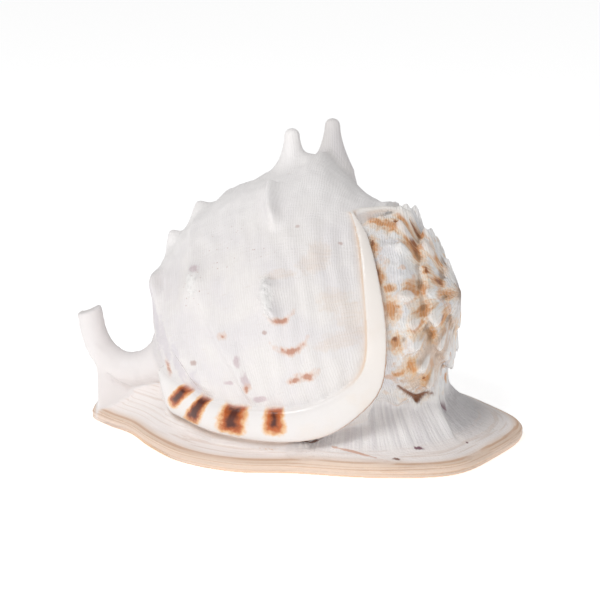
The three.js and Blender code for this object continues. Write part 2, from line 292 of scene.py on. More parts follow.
def spline(points, count, closed=False):
    """Points on a smooth curve through the given ones."""
    p = np.array(points, float)
    ends = (p[-1], p[0], p[1]) if closed else (2 * p[0] - p[1], 2 * p[-1] - p[-2], None)
    p = np.vstack([ends[0], p, ends[1]] + ([ends[2]] if closed else []))
    u = np.linspace(0, len(p) - 3, count)
    i = np.minimum(u.astype(int), len(p) - 4)
    w = (u - i)[:, None]
    a, b, c, d = p[i], p[i + 1], p[i + 2], p[i + 3]
    return 0.5 * (2 * b + (c - a) * w + (2 * a - 5 * b + 4 * c - d) * w**2 + (3 * b - a - 3 * c + d) * w**3)


def to_polyline(x, y, line):
    """Distance in plan to a line of points, and the share of its length at the nearest place."""
    best = np.full(np.broadcast(x, y).shape, 1e9)
    share = np.zeros(best.shape)
    for i, ((x0, y0), (x1, y1)) in enumerate(zip(line, line[1:])):
        dx, dy = x1 - x0, y1 - y0
        w = np.clip(((x - x0) * dx + (y - y0) * dy) / (dx * dx + dy * dy + 1e-12), 0, 1)
        d = np.hypot(x - x0 - w * dx, y - y0 - w * dy)
        share = np.where(d < best, (i + w) / (len(line) - 1), share)
        best = np.minimum(best, d)
    return best, share


def inside_outline(x, y, line):
    inside = np.zeros(np.broadcast(x, y).shape, bool)
    for (x0, y0), (x1, y1) in zip(line, line[1:]):
        crosses = (y0 > y) != (y1 > y)
        inside ^= crosses & (x < (x1 - x0) * (y - y0) / (y1 - y0 + 1e-12) + x0)
    return inside


outline = spline(FOOTPRINT, 121, closed=True)


def to_outline(x, y):
    return to_polyline(x, y, outline)[0] * np.where(inside_outline(x, y, outline), -1, 1)


def skirt_angle(at):
    return np.degrees(np.arctan2(at.y - SKIRT_CENTRE[1], at.x - SKIRT_CENTRE[0]))


def shield_plate(at):
    rim = to_outline(at.x, at.y)
    wave = 0.5 * np.sin(at.x / 17) + 0.4 * np.sin(at.x / 7.3 + at.y / 9)
    pocket = -100 + 15 * smoothstep(-rim, 2, 13)
    climb = smoothstep(-rim, 3, 30) * smoothstep(at.x, -45, -78)
    climb = climb * (1 - 0.4 * smoothstep(at.x, pocket + 1.5, pocket - 3) * (at.y < 14))
    top = EDGE_THICK + wave + 1.8 * smoothstep(-rim, 2, 14) + CALLUS_RISE * climb
    layers = 0.45 * np.sin(at.z * 2.6 + at.x / 23) * smoothstep(-rim, 8, 2)
    edge = np.maximum(rim + layers, -40)
    lid = at.z - top
    corner = np.maximum(edge + EDGE_ROUND, 0) ** 2 + np.maximum(lid + EDGE_ROUND, 0) ** 2
    deep = np.maximum(edge, lid)
    return np.where(deep < -EDGE_ROUND, deep, np.sqrt(corner) - EDGE_ROUND)


def shield_skirt(at):
    angle = skirt_angle(at)
    share = np.clip((at.z - 6) / 34, 0, 1)
    crease = -40 + 0.35 * (at.z - 20)
    curtain = smoothstep(angle, crease + 2.5, crease - 2.5)
    spread = SKIRT_NECK + SKIRT_SPREAD * (1 - share) ** (2.1 - 0.7 * curtain)
    fold = 2.4 * (1 - curtain) * smoothstep(angle, 40, 10) * smoothstep(at.z, 5, 13)
    pleats = 0.3 * np.sin(np.radians(angle) * 46) + 0.25 * np.sin(np.radians(angle) * 31 + at.z / 9)
    pleats = pleats * smoothstep(at.z, 8, 16)
    off = np.hypot(at.x - SKIRT_CENTRE[0], at.y - SKIRT_CENTRE[1])
    return np.maximum((off - spread + fold - pleats) * (0.45 + 0.5 * share), at.z - SKIRT_TOP)


def shield(at):
    return smooth_union(shield_plate(at), shield_skirt(at), 5)


# The varix is the thick lip of an earlier stop in growth: a white porcelain band 17 mm wide in front that
# thins out beside the spire. It lies between the line where the body rises out of it and its own free edge.
VARIX_INNER = [
    (-66.5, -24, 39), (-54.5, -43.5, 33.8), (-48, -49.5, 31.5), (-36, -59, 29.5), (-11.8, -69.5, 30.2),
    (4.6, -73, 33.5), (21, -74.5, 42), (29, -73.5, 52), (30.5, -72.5, 67), (28.8, -66, 91.5),
    (27, -55, 108), (24.2, -43.4, 117.6),
]
VARIX_OUTER = [
    (-67.5, -20, 31), (-63.5, -29, 19), (-56.5, -38, 16.5), (-39.5, -57, 14.5), (-11.8, -68.5, 13.5),
    (11.4, -71.6, 17.2), (27.6, -72.8, 28.2), (38.5, -72.6, 43.4), (40, -71, 68.5), (36.5, -64.5, 91.5),
    (31.5, -52, 109), (25.6, -43, 118),
]
VARIX_SECTIONS = 260
VARIX_HALF_THICK = 2.7
FAR_FROM_VARIX = 9.0
inner, outer = spline(VARIX_INNER, VARIX_SECTIONS), spline(VARIX_OUTER, VARIX_SECTIONS)
band_middle, band_across = (inner + outer) / 2, (outer - inner) / 2
band_half = np.linalg.norm(band_across, axis=1)
band_way = np.gradient(band_middle, axis=0)
band_length = np.concatenate([[0], np.cumsum(np.linalg.norm(np.diff(band_middle, axis=0), axis=1))])
band_face = np.cross(band_across, band_way)
band_face /= np.linalg.norm(band_face, axis=1)[:, None]


def on_band(points):
    """For points near the varix: its nearest section, and the places across (-1 to 1), above and past it."""
    nearest = np.zeros(len(points), int)
    for start in range(0, len(points), 20000):
        part = points[start : start + 20000, None, :] - band_middle
        across = np.einsum("ijk,jk->ij", part, band_across) / band_half**2
        off = part - np.clip(across, -1, 1)[..., None] * band_across
        nearest[start : start + 20000] = np.einsum("ijk,ijk->ij", off, off).argmin(1)
    part = points - band_middle[nearest]
    way = band_way[nearest]
    across = np.einsum("ij,ij->i", part, band_across[nearest]) / band_half[nearest] ** 2
    beyond = np.abs(np.einsum("ij,ij->i", part, way)) / np.linalg.norm(way, axis=1)
    return nearest, across, np.einsum("ij,ij->i", part, band_face[nearest]), beyond


def varix(points):
    nearest, across, height, beyond = on_band(points)
    half = band_half[nearest]
    beside_spire = smoothstep(nearest, 121, 173)
    bulge = (1.5 - beside_spire) * (1 - np.clip(across, -1, 1) ** 2)
    thick = VARIX_HALF_THICK * np.clip(half / 7, 0.45, 1)
    round_edge = thick * (0.85 - 0.35 * beside_spire)
    q = np.abs(across) * half - half + round_edge
    r = np.abs(height - bulge) - thick + round_edge
    section = np.hypot(np.maximum(q, 0), np.maximum(r, 0)) + np.minimum(np.maximum(q, r), 0) - round_edge
    at_end = (nearest == 0) | (nearest == VARIX_SECTIONS - 1)
    return np.where(at_end, np.maximum(section, beyond - 0.5), section)


def tube(at, line, radii):
    """Distance to a round tube along points, with a radius at each."""
    best = np.float32(1e9)
    for (p, q), (r0, r1) in zip(zip(line, line[1:]), zip(radii, radii[1:])):
        d = q - p
        v = [at.x - p[0], at.y - p[1], at.z - p[2]]
        w = np.clip((v[0] * d[0] + v[1] * d[1] + v[2] * d[2]) / (d @ d), 0, 1)
        far = np.sqrt((v[0] - w * d[0]) ** 2 + (v[1] - w * d[1]) ** 2 + (v[2] - w * d[2]) ** 2)
        best = np.minimum(best, far - (r0 + (r1 - r0) * w))
    return best


# On the side of the canal the callus of the shield rises to the outer edge of the varix
BEDDING = np.array([
    (-62, -23, 14), (-56, -33, 12), (-39.5, -52.5, 11), (-25, -59.5, 10.8), (-11.8, -64.5, 10.8),
    (3, -66.5, 10.5),
])
BEDDING_RADII = [5, 4.6, 4.2, 3.9, 3.6, 2.4]


def bedding(at):
    return tube(at, BEDDING, BEDDING_RADII)


# The siphonal canal is a white stub 13 mm thick that turns up at the end opposite the spire. A wall of shell
# joins it to the shield, and it is open along the side towards the lip.
CANAL_PATH = [
    (-107, 16, 56), (-105, 16, 45), (-100.5, 16, 35), (-91, 15, 27.5), (-78, 13, 27.5), (-60, 9, 36),
]
CANAL_RADIUS = 6.4
CANAL_WALL_HALF = 6.5
canal_line = spline(CANAL_PATH, 28)


def canal(at):
    share = np.linspace(0, 1, len(canal_line))
    pipe = tube(at, canal_line, CANAL_RADIUS * (1 + 0.7 * share**2) + 0.18 * np.sin(share * 70))
    pipe = np.maximum(pipe, -0.34 * (at.x + 107) + 0.94 * (at.z - 57.5))
    top = np.interp(at.x, [-104, -92, -60], [40, 28, 30])
    wall = np.maximum(np.abs(at.y - 17 - 0.06 * (at.x + 90)) - CANAL_WALL_HALF, at.z - top)
    return smooth_union(pipe, np.maximum(wall, np.abs(at.x + 78) - 25.5), 3)


# The aperture is a slit up to 16 mm wide in the underside, with ridges like teeth along both sides, and
# opens into the hollow of the last whorl. The underside round it is dished by 4 mm.
SLIT_PATH = [(-95, 17), (-74, 14), (-44, 9), (-8, 12), (26, 19), (50, 17)]
SLIT_HALF = 8
SLIT_TOP = 24
TEETH = 17
DISH_DEPTH = 4.2
ROOM_HALF_HEIGHT = 18
GROOVE_RADIUS = 3.2
slit_line = spline(SLIT_PATH, 60)
groove_line = canal_line[:20]


def hollows(at):
    off, share = to_polyline(at.x, at.y, slit_line)
    half = SLIT_HALF * (0.3 + 0.7 * smoothstep(share, 0.1, 0.5)) * (1 - 0.5 * smoothstep(share, 0.8, 1))
    teeth = np.cos(np.radians(share * 360 * TEETH)) * 1.5 * smoothstep(share, 0.25, 0.35)
    teeth = teeth * smoothstep(at.z, 14, 8)
    slit = np.maximum(off - half + teeth * smoothstep(at.z, 1.0, 5), at.z - SLIT_TOP)
    room = ((at.x + 2) / 52) ** 2 + ((at.y - 17) / 30) ** 2 + ((at.z - 30) / ROOM_HALF_HEIGHT) ** 2
    dish = (at.x / 86) ** 2 + (at.y / 58) ** 2 + (at.z / DISH_DEPTH) ** 2
    to_lip = SimpleNamespace(x=at.x + 0.5, y=at.y - 4.6, z=at.z - 0.5)
    groove = tube(to_lip, groove_line, np.full(len(groove_line), GROOVE_RADIUS))
    found = smooth_union(slit, (np.sqrt(room) - 1) * ROOM_HALF_HEIGHT, 4)
    return smooth_union(np.minimum(found, groove), (np.sqrt(dish) - 1) * DISH_DEPTH, 2.5)


# The edge of the older lip goes on over the top of the spire as a thin white rim. Where the skirt meets the
# lowest knobs of the spire its edge is broken away, and a slot runs below the canal.
LEDGE = np.array([
    (24.1, -42.3, 118.2), (29.5, -39, 119.4), (34, -36.5, 119.3), (38.6, -33.5, 119.1), (43.5, -31, 118.4),
    (48.2, -28.5, 117.1), (52, -26, 115.0),
])
LEDGE_RADII = [0.6, 1.0, 1.2, 1.3, 1.4, 1.6, 1.8]
CHIP = np.array([
    (46.4, -60.4, 38.6), (49.9, -58.1, 35.5), (54, -53.4, 31.8), (56.5, -51.5, 29.8), (60.5, -48, 31.8),
    (66.2, -43.2, 29.7), (70, -30.5, 23.5),
])
CHIP_RADII = [0.25, 0.5, 0.8, 1.9, 0.5, -0.4, -0.6]
SLOT = np.array([(-98, 9.3, 24.5), (-93, 9.8, 19.8), (-87.5, 9.9, 16.9)])
SLOT_RADII = [0.9, 1.4, 1.6]


def ledge(at):
    return tube(at, LEDGE, LEDGE_RADII)


def chip(at):
    return tube(at, CHIP, CHIP_RADII)


def slot(at):
    return tube(at, SLOT, SLOT_RADII)


# The skin of the shell is one closed mesh: the forms are joined with soft or sharp seams, hollowed, and cut
# off at the ground. It is skinned on a grid of just under a millimetre.
STEP = 0.95
LOW, HIGH = np.array([-119.0, -90.0, -3.0]), np.array([116.0, 96.0, 157.0])
DEEPEST = 3.0
TRIANGLES = 188000
axes = [np.arange(a, b, STEP, dtype=np.float32) for a, b in zip(LOW, HIGH)]
at = place(axes[0][:, None, None], axes[1][None, :, None], axes[2][None, None, :])
whole = horns(at, body(at))
whole = smooth_union(whole, canal(at), 14)
whole = smooth_union(whole, ledge(at), 2.5)
whole = smooth_union(whole, bedding(at), 3)
plate = shield(at)
older = smooth_union(spire(at), plate, 4)
whole = smooth_union(whole, older, 1.2 + 6 * smoothstep(at.y, 0, 30))
in_front = (at.x < 48) & (at.y < -6) & (at.z > 3) & (at.z < 119)
near = np.argwhere((np.abs(whole) < 11) & in_front)
band = np.full(whole.shape, FAR_FROM_VARIX, np.float32)
band[tuple(near.T)] = varix(near * STEP + LOW)
whole = smooth_union(whole, smooth_union(band, plate, 0.8 + 8 * smoothstep(at.x, -2, -26)), 0.8)
whole = -smooth_union(-whole, np.minimum(hollows(at), np.minimum(chip(at), slot(at))), 1.0)
whole = np.maximum(whole, -at.z)
grid = openvdb.FloatGrid(background=DEEPEST)
grid.copyFromArray(np.clip(whole, -DEEPEST, DEEPEST).astype(np.float32))
points, triangles, quads = grid.convertToPolygons(isovalue=0.0, adaptivity=0.0)
faces = np.vstack([triangles.reshape(-1, 3), quads[:, [0, 1, 2]], quads[:, [0, 2, 3]]])

mesh = bpy.data.meshes.new("shell_skin")
mesh.from_pydata((points * STEP + LOW).tolist(), [], faces[:, ::-1].tolist())
mesh.validate()
piece = bpy.data.objects.new("shell_skin", mesh)
bpy.context.scene.collection.objects.link(piece)
thin_out = piece.modifiers.new("thin out", "DECIMATE")
thin_out.ratio = TRIANGLES / len(mesh.polygons)
mesh = bpy.data.meshes.new_from_object(piece.evaluated_get(bpy.context.evaluated_depsgraph_get()))
piece.modifiers.clear()
piece.data = mesh
for polygon in mesh.polygons:
    polygon.use_smooth = True

# Each point of the skin keeps its share of every form and its places on the varix, the spire and the shield,
# for the colours. Then the shell is moved so that the middle of its footprint is the origin.
SHIFT = np.array([1.44, -2.19, 0.0])
coords = np.zeros(len(mesh.vertices) * 3, np.float32)
mesh.vertices.foreach_get("co", coords)
coords = coords.reshape(-1, 3)
at = place(*coords.T)
band = np.full(len(coords), FAR_FROM_VARIX)
in_front = (at.x < 50) & (at.y < -4) & (at.z < 121)
band[in_front] = varix(coords[in_front])
outside = np.abs([horns(at, body(at)), spire(at), shield(at), band, canal(at)])
within = np.abs(hollows(at))
# Inside a hollow the outer forms don't count, however near they are
level = np.vstack([outside + 5 * (within < 0.8), within])
weight = np.exp(-(level - level.min(0)) / 0.7)
_, on_spire, on_shield, on_varix, on_canal, inside = weight / weight.sum(0)
section, across, _, _ = on_band(coords)
way = band_way[section] / np.linalg.norm(band_way[section], axis=1)[:, None]
off = coords - band_middle[section] - across[:, None] * band_across[section]
along_band = band_length[section] + np.einsum("ij,ij->i", off, way)
fan = skirt_angle(at)
fan = np.where(fan > 100, fan - 360, fan)
lump = sample(spire_chart - spire_plain, at)


def attribute(name, columns):
    kept = mesh.attributes.new(name, "FLOAT_VECTOR", "POINT")
    kept.data.foreach_set("vector", np.vstack(columns).T.astype(np.float32).ravel())


attribute("band", (along_band, across, on_varix))
attribute("lump", (lump, smoothstep(chip(at), 0.7, -0.1), smoothstep(ledge(at), 1.0, 0.0)))
attribute("zone", (on_spire, on_shield, inside))
attribute("edge", (on_canal, -to_outline(at.x, at.y), fan))
mesh.vertices.foreach_set("co", ((coords + SHIFT) / 1000).astype(np.float32).ravel())
mesh.update()
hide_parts("shell")
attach(piece, "root")

# Colour is laid down with the shell, layer by layer, so it follows the growth: along the coil or the varix,
# or round the shield. It is painted in the same way, fine threads over warm white and then the marks of each
# part. Each kind of mark is a node group that is fed with the places kept above.
ONE_DEGREE = 0.01745


def feed(tree, socket, value):
    if isinstance(value, bpy.types.NodeSocket):
        tree.links.new(value, socket)
    elif value is not None:
        socket.default_value = value


def node(tree, kind, *inputs, **settings):
    """The first output of a shader node, fed with sockets or values in the order of its inputs."""
    made = tree.nodes.new(kind)
    for name, value in settings.items():
        setattr(made, name, value)
    for socket, value in zip(made.inputs, inputs):
        feed(tree, socket, value)
    return made.outputs[0]


def sums(tree, operation, *inputs):
    return node(tree, "ShaderNodeMath", *inputs, operation=operation)


def fade(tree, value, low, high):
    """A mask that rises from 0 to 1 between two values."""
    return node(tree, "ShaderNodeMapRange", value, low, high, 0.0, 1.0, interpolation_type="SMOOTHSTEP")


def parts(tree, vector):
    return node(tree, "ShaderNodeSeparateXYZ", vector).node.outputs


def noise(tree, vector, stretch, detail=2.0):
    scaled = node(tree, "ShaderNodeVectorMath", vector, stretch, operation="MULTIPLY")
    return node(tree, "ShaderNodeTexNoise", scaled, None, 1.0, detail)


def group(name, wants, gives):
    made = bpy.data.node_groups.new(name, "ShaderNodeTree")
    for in_out, labels in (("INPUT", wants), ("OUTPUT", gives)):
        for label in labels:
            kind = "NodeSocketVector" if label in ("Place", "Coil", "Band") else "NodeSocketFloat"
            made.interface.new_socket(label, in_out=in_out, socket_type=kind)
    return made, made.nodes.new("NodeGroupInput").outputs, made.nodes.new("NodeGroupOutput").inputs


def use(tree, made, *inputs):
    """The outputs of a group placed in a material; inputs that aren't given are 0."""
    held = tree.nodes.new("ShaderNodeGroup")
    held.node_tree = made
    for socket, value in zip(held.inputs, inputs):
        feed(tree, socket, value)
    return held.outputs


# A place in mm turned into the coordinates on the coil
coiled, wanted, given = group("on the coil", ["Place"], ["Coil"])
offset = node(coiled, "ShaderNodeVectorMath", wanted["Place"], COIL_CENTRE + SHIFT, operation="SUBTRACT")
along, front, top = (
    node(coiled, "ShaderNodeVectorMath", offset, way, operation="DOT_PRODUCT").node.outputs["Value"]
    for way in (COIL_AXIS, TO_FRONT, TO_TOP)
)
angle = sums(coiled, "DEGREES", sums(coiled, "ARCTAN2", top, front))
angle = sums(coiled, "MULTIPLY_ADD", sums(coiled, "LESS_THAN", angle, FIRST_TURN), 360.0, angle)
spread = sums(coiled, "MULTIPLY_ADD", front, front, sums(coiled, "MULTIPLY", top, top))
spread = sums(coiled, "SQRT", spread)
coiled.links.new(node(coiled, "ShaderNodeCombineXYZ", along, angle, spread), given["Coil"])

# Fine spiral threads a millimetre apart, crossed by growth lines
threads, wanted, given = group("threads", ["Coil"], ["Lines", "Growth"])
along = parts(threads, wanted["Coil"])[0]
wobble = sums(threads, "MULTIPLY", noise(threads, wanted["Coil"], (0.12, 0.09, 0)), 3.0)
wave = sums(threads, "SINE", sums(threads, "MULTIPLY", sums(threads, "ADD", along, wobble), 5.6))
rough = noise(threads, wanted["Coil"], (1.5, 0.05, 0), 3.0)
lines = sums(threads, "MULTIPLY_ADD", wave, 0.22, rough)
threads.links.new(fade(threads, lines, 0.25, 0.8), given["Lines"])
threads.links.new(noise(threads, wanted["Coil"], (0.13, 1.1, 0), 3.0), given["Growth"])

# A ragged mark round a place on the coil, with a halo; a bend turns it into a smile
mark, wanted, given = group("mark", ["Coil", "Along", "Turn", "Reach", "Rise", "Bend"], ["Core", "Halo"])
along, turn, radius = parts(mark, wanted["Coil"])
dx = sums(mark, "DIVIDE", sums(mark, "SUBTRACT", along, wanted["Along"]), wanted["Reach"])
up = sums(mark, "SUBTRACT", turn, wanted["Turn"])
up = sums(mark, "MULTIPLY", up, sums(mark, "MULTIPLY", radius, ONE_DEGREE))
sag = sums(mark, "MULTIPLY", sums(mark, "MULTIPLY", dx, dx), wanted["Bend"])
dy = sums(mark, "SUBTRACT", sums(mark, "DIVIDE", up, wanted["Rise"]), sag)
far = sums(mark, "ADD", sums(mark, "MULTIPLY", dx, dx), sums(mark, "MULTIPLY", dy, dy))
ragged = sums(mark, "MULTIPLY_ADD", noise(mark, wanted["Coil"], (0.4, 0.35, 0), 4.0), 2.2, -1.1)
far = sums(mark, "ADD", sums(mark, "SQRT", far), ragged)
mark.links.new(fade(mark, far, 1.0, 0.35), given["Core"])
mark.links.new(fade(mark, far, 1.7, 0.7), given["Halo"])

# A brown bar across the varix from its inner line, dark in the middle and orange at the fringe
bar, wanted, given = group("bar", ["Band", "Middle", "Half", "End", "Pale"], ["Fringe", "Brown", "Dark"])
length, across, _ = parts(bar, wanted["Band"])
wobble = noise(bar, wanted["Band"], (0.35, 3.0, 0), 3.0)
wide = sums(bar, "ABSOLUTE", sums(bar, "SUBTRACT", length, wanted["Middle"]))
wide = sums(bar, "POWER", sums(bar, "DIVIDE", wide, wanted["Half"]), 4.0)
low = sums(bar, "MULTIPLY_ADD", sums(bar, "SUBTRACT", across, wanted["End"]), 1.6, 1.0)
low = sums(bar, "POWER", sums(bar, "MAXIMUM", low, 0.0), 4.0)
high = sums(bar, "MULTIPLY_ADD", sums(bar, "ADD", across, 1.0), -3.0, 0.6)
reach = sums(bar, "MAXIMUM", sums(bar, "POWER", sums(bar, "ADD", wide, low), 0.25), high)
reach = sums(bar, "ADD", reach, sums(bar, "MULTIPLY_ADD", wobble, 0.7, -0.37))
bar.links.new(fade(bar, reach, 1.35, 0.9), given["Fringe"])
bar.links.new(fade(bar, reach, 1.1, 0.55), given["Brown"])
bar.links.new(fade(bar, sums(bar, "ADD", reach, wanted["Pale"]), 0.82, 0.16), given["Dark"])

material = bpy.data.materials.new("shell")
material.use_nodes = True
mesh.materials.clear()
mesh.materials.append(material)
tree = material.node_tree
shader = tree.nodes["Principled BSDF"]


def layer(name):
    return node(tree, "ShaderNodeAttribute", attribute_name=name).node.outputs["Vector"]


def linear(colour):
    """A colour given as 8-bit red, green and blue in Blender's own numbers; a socket stays as it is."""
    if isinstance(colour, bpy.types.NodeSocket):
        return colour
    return [((c / 255 + 0.055) / 1.055) ** 2.4 for c in colour] + [1]


def both(a, b):
    return sums(tree, "MULTIPLY", a, b)


def most(values):
    first, *others = values
    for value in others:
        first = sums(tree, "MAXIMUM", first, value)
    return first


def paint(share, below, colour, amount=1.0):
    """The colour below with another over it, each a socket or 8-bit red, green and blue."""
    mixed = tree.nodes.new("ShaderNodeMix")
    mixed.data_type = "RGBA"
    feed(tree, mixed.inputs[0], share if amount == 1.0 else both(share, amount))
    feed(tree, mixed.inputs[6], linear(below))
    feed(tree, mixed.inputs[7], linear(colour))
    return mixed.outputs[2]


band_place = layer("band")
band_along, band_over, on_varix = parts(tree, band_place)
lump, chip_shade, white_rim = parts(tree, layer("lump"))
on_spire, on_shield, inside = parts(tree, layer("zone"))
on_canal, rim, fan = parts(tree, layer("edge"))
in_metres = tree.nodes.new("ShaderNodeTexCoord").outputs["Object"]
where = node(tree, "ShaderNodeVectorMath", in_metres, (1000, 1000, 1000), operation="MULTIPLY")
plan_x, plan_y, height = parts(tree, where)
coil = use(tree, coiled, where)["Coil"]
coil_turn = parts(tree, coil)[1]
facing = parts(tree, tree.nodes.new("ShaderNodeNewGeometry").outputs["Normal"])[2]
thread_lines, growth = use(tree, threads, coil)
between_threads = sums(tree, "SUBTRACT", 1.0, thread_lines)
cloud = noise(tree, where, (0.05, 0.05, 0.05), 3.0)

# The body is matt white with lilac shades. It has tan stains beside the varix, specks, and brown smiles, of
# which three stand in a row in front. A mark has its place along and turn, half length, half height and bend.
BODY_WHITE, BODY_LILAC, BODY_THREAD = (238, 234, 232), (232, 228, 229), (205, 195, 188)
GROWTH_TAN, STAIN_TAN, SPOT_LILAC = (214, 200, 188), (222, 190, 156), (196, 172, 178)
SMILE_PALE, SMILE_BROWN, SPECK_BROWN = (224, 184, 158), (188, 122, 92), (165, 115, 98)
BEAD_WHITE_AND_HIGHLIGHT, PAINTED_TOP_LIGHT, FLANK_PAINTED_SHADE = (243, 241, 239), (254, 251, 250), (208, 201, 209)
STAINS = [
    (40, 12, 5, 7), (34, 19, 6, 4), (40, 5, 6, 3), (26, 34, 5, 4), (30, 38, 4, 5), (33, 3, 9, 3),
    (10, 31, 6, 2),
]
LILAC_SPOTS = [
    (-32.5, 41, 2, 1.8), (-16, 2, 1.2, 2.4), (-14, -6, 1.6, 3.2), (-9.4, -14, 3, 1.4), (-23.7, -7, 1.8, 1),
]
SMILES = [
    (8.6, 14.0, 5.5, 1.6, 1.5), (11.1, 2.6, 6.5, 1.8, 1.5), (15.6, -8, 4.5, 2.0, 0.7), (-21, 12.2, 1.6, 1.6),
    (-14, -8.6, 1.6, 2.0), (-59.4, -5, 1.5, 4), (9, -8.5, 3, 1.6, 0.2), (-20, 150, 4, 1.5, 1.2),
    (2, 138, 5, 1.6, 1.2), (-4, 172, 5, 1.7, 1.2), (-32, 186, 4, 1.4, 1.0), (12, 200, 5, 1.7, 1.2),
]
SPECKLED = [(-17, 50, 8, 14), (3, 42, 5, 3), (-34, 33, 6, 8)]
SINGLE_SPECKS = [
    (19.9, 50.5, 0.9, 0.8), (39, 43, 0.9, 0.8), (12, 85, 1.2, 0.9), (-40, 2, 1.2, 1.0), (0, 11, 0.9, 0.8),
]
BEADED = [(4, 23, 2.6, 9), (-34.5, 35, 2.6, 5)]
FLANK_SHADE_PLACES = [(-63, 34, 3, 16), (-58, 14, 3, 9), (-50.5, 2, 3, 8), (-43, -8, 3, 6)]


def marks(place, specs):
    return [use(tree, mark, place, *spec) for spec in specs]


def halos(found):
    return most(one["Halo"] for one in found)


def cores(found):
    return most(one["Core"] for one in found)


colour = paint(fade(tree, cloud, 0.35, 0.65), BODY_WHITE, BODY_LILAC)
colour = paint(between_threads, colour, BODY_THREAD, 0.14)
colour = paint(fade(tree, growth, 0.6, 0.8), colour, GROWTH_TAN, 0.25)
streaks = sums(tree, "MULTIPLY_ADD", growth, 0.9, 0.1)
colour = paint(both(halos(marks(coil, STAINS)), streaks), colour, STAIN_TAN, 0.34)
colour = paint(halos(marks(coil, LILAC_SPOTS)), colour, SPOT_LILAC, 0.6)
smiles = marks(coil, SMILES)
colour = paint(halos(smiles), colour, SMILE_PALE, 0.5)
colour = paint(cores(smiles), colour, SMILE_BROWN, 0.75)
cells = node(tree, "ShaderNodeTexVoronoi", where, None, 0.42).node.outputs["Distance"]
specks = both(fade(tree, cells, 0.2, 0.1), halos(marks(coil, SPECKLED)))
colour = paint(most([specks, halos(marks(coil, SINGLE_SPECKS))]), colour, SPECK_BROWN, 0.5)
beaded = halos(marks(coil, BEADED))
# The beaded rims of two knobs are painted whiter: partly their own white, partly painted highlight where they
# face the lamp.
colour = paint(beaded, colour, BEAD_WHITE_AND_HIGHLIGHT, 0.7)
# Painted light: the top of the body round the shoulder, short of the horns, is painted nearly pure white, as
# if lit from above.
painted_top_light = both(fade(tree, coil_turn, 35.0, 75.0), fade(tree, coil_turn, 124.0, 92.0))
colour = paint(painted_top_light, colour, PAINTED_TOP_LIGHT, 0.8)
# Painted shade: lilac grey on the flank of the low crest that faces the canal, as the shade beside the ridge.
colour = paint(halos(marks(coil, FLANK_SHADE_PLACES)), colour, FLANK_PAINTED_SHADE, 0.55)

# The spire is older shell, worn to grey-white, with orange-brown clouds that are dark between the knobs. Its
# knobs are rubbed white with painted highlight, and the grooves between the rows are painted shade. The far
# side has blots instead of clouds.
SPIRE_WHITE, SPIRE_GREY, SPIRE_THREAD = (248, 246, 244), (236, 235, 238), (196, 180, 164)
WASH_TAN, CLOUD_TAN, CLOUD_ORANGE = (210, 172, 135), (238, 193, 138), (208, 134, 62)
CLOUD_DARK, RUBBED_WHITE_AND_HIGHLIGHT, GROOVE_PAINTED_SHADE = (132, 70, 32), (250, 248, 246), (146, 112, 84)
RIM_WHITE = (246, 241, 236)
LOW_WASH = [(66, -30, 10, 13)]
CLOUDS = [
    (50, 63, 6, 1.2), (55.5, 61, 6, 3), (61, 60, 8, 4.5), (64, 63, 5, 4), (64.5, 69, 3.5, 2),
    (52, 44.5, 2.6, 5), (54, 27.5, 2.6, 5.5), (57.5, 22, 3, 2.5), (57, 11.5, 4, 6), (56.5, -5.5, 3, 5),
    (60, -21, 2.6, 4.5), (64, -35, 2.2, 4), (54, -22, 3, 2), (66.5, 20, 3, 4.5), (70.5, 22, 3, 4),
    (69.7, 6, 4, 4.5), (68.3, 54, 4, 7), (72.5, 36.5, 2, 4), (68.5, 78, 3, 5), (76, 31, 2.4, 3),
    (78.3, 15, 3, 3), (75, -10, 2.2, 4), (70.3, -15.5, 2, 4), (66, -1, 3, 5), (75, 62, 3, 4),
]
DARK_CLOUDS = [
    (62.5, 63.5, 4, 1.2), (52, 46.5, 1.2, 2.4), (53.5, 29.5, 1.2, 2.4), (68, 57, 2, 4), (72.5, 37, 1, 2),
    (76, 31, 1.3, 1.8), (68, 77, 1.6, 3), (75, -8, 1, 2.2), (56.5, -3, 1.4, 1.8), (63.7, -33, 1, 1.6),
]
grey = paint(fade(tree, cloud, 0.4, 0.62), SPIRE_WHITE, SPIRE_GREY)
grey = paint(between_threads, grey, SPIRE_THREAD, 0.14)
grey = paint(halos(marks(coil, LOW_WASH)), grey, WASH_TAN, 0.6)
clouds = marks(coil, CLOUDS)
from_front = sums(tree, "ABSOLUTE", sums(tree, "SUBTRACT", coil_turn, 10.0))
far_side = sums(tree, "MULTIPLY_ADD", fade(tree, from_front, 62.0, 80.0), 0.55, 0.45)
blots = both(fade(tree, noise(tree, where, (0.14, 0.14, 0.14), 3.0), 0.52, 0.64), far_side)
striped = sums(tree, "MULTIPLY_ADD", thread_lines, 0.25, 0.77)
pale = most([blots, halos(clouds)])
grey = paint(both(pale, striped), grey, CLOUD_TAN, 0.65)
deep = most([both(blots, fade(tree, cloud, 0.45, 0.6)), cores(clouds)])
grey = paint(both(deep, striped), grey, CLOUD_ORANGE, 0.8)
grey = paint(cores(marks(coil, DARK_CLOUDS)), grey, CLOUD_DARK, 0.8)
# The tops of the knobs are rubbed white, with painted highlight on them as well.
grey = paint(fade(tree, lump, 1.9, 4.2), grey, RUBBED_WHITE_AND_HIGHLIGHT, 0.75)
# Painted shade: where the spire lies below its plain cone, in the grooves behind the rows, it is darkened.
grey = paint(fade(tree, lump, -0.5, -2.2), grey, GROOVE_PAINTED_SHADE, 0.65)
colour = paint(on_spire, colour, grey)
colour = paint(white_rim, colour, RIM_WHITE)

